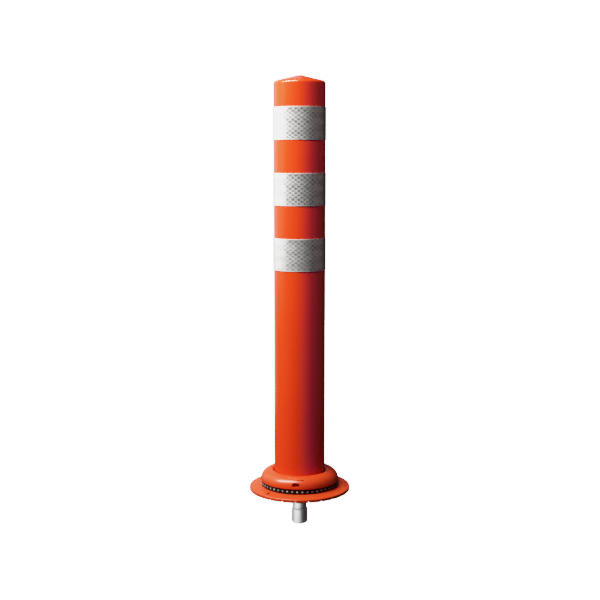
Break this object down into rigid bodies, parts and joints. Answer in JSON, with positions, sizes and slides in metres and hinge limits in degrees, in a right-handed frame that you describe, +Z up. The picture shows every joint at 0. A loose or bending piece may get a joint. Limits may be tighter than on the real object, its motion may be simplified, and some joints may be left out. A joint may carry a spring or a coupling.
{
  "type": "lane separator post",
  "caption": "Flexible orange road post with reflective bands, clamped by a screwed ring to a round base plate on a single steel anchor leg.",
  "frame": {"origin": "centre of the base plate's underside, at road level", "axes": "+Z up along the post, -Y towards the front of the picture, the anchor sleeve points down"},
  "size_m": [0.16, 0.16, 0.706],
  "materials": {
    "post_urethane": "smooth moulded urethane, glossy",
    "base_urethane": "moulded urethane, satin",
    "reflective_sheet": "clear prismatic sheet over a white back",
    "black_rubber": "moulded, matt",
    "bead_glass": "silvered glass bead",
    "bolt_steel": "zinc plated",
    "sleeve_steel": "turned and zinc plated"
  },
  "bodies": {
    "root": {"post": "post_urethane", "reflective_sheet_top": "reflective_sheet", "reflective_sheet_middle": "reflective_sheet", "reflective_sheet_bottom": "reflective_sheet", "lock_ring": "base_urethane", "bead_ring": "black_rubber", "glass_beads": "bead_glass", "base_plate": "base_urethane", "anchor_bolt": "bolt_steel", "spring_washer": "bolt_steel", "plain_washer": "bolt_steel", "anchor_sleeve": "sleeve_steel"}
  },
  "joints": []
}
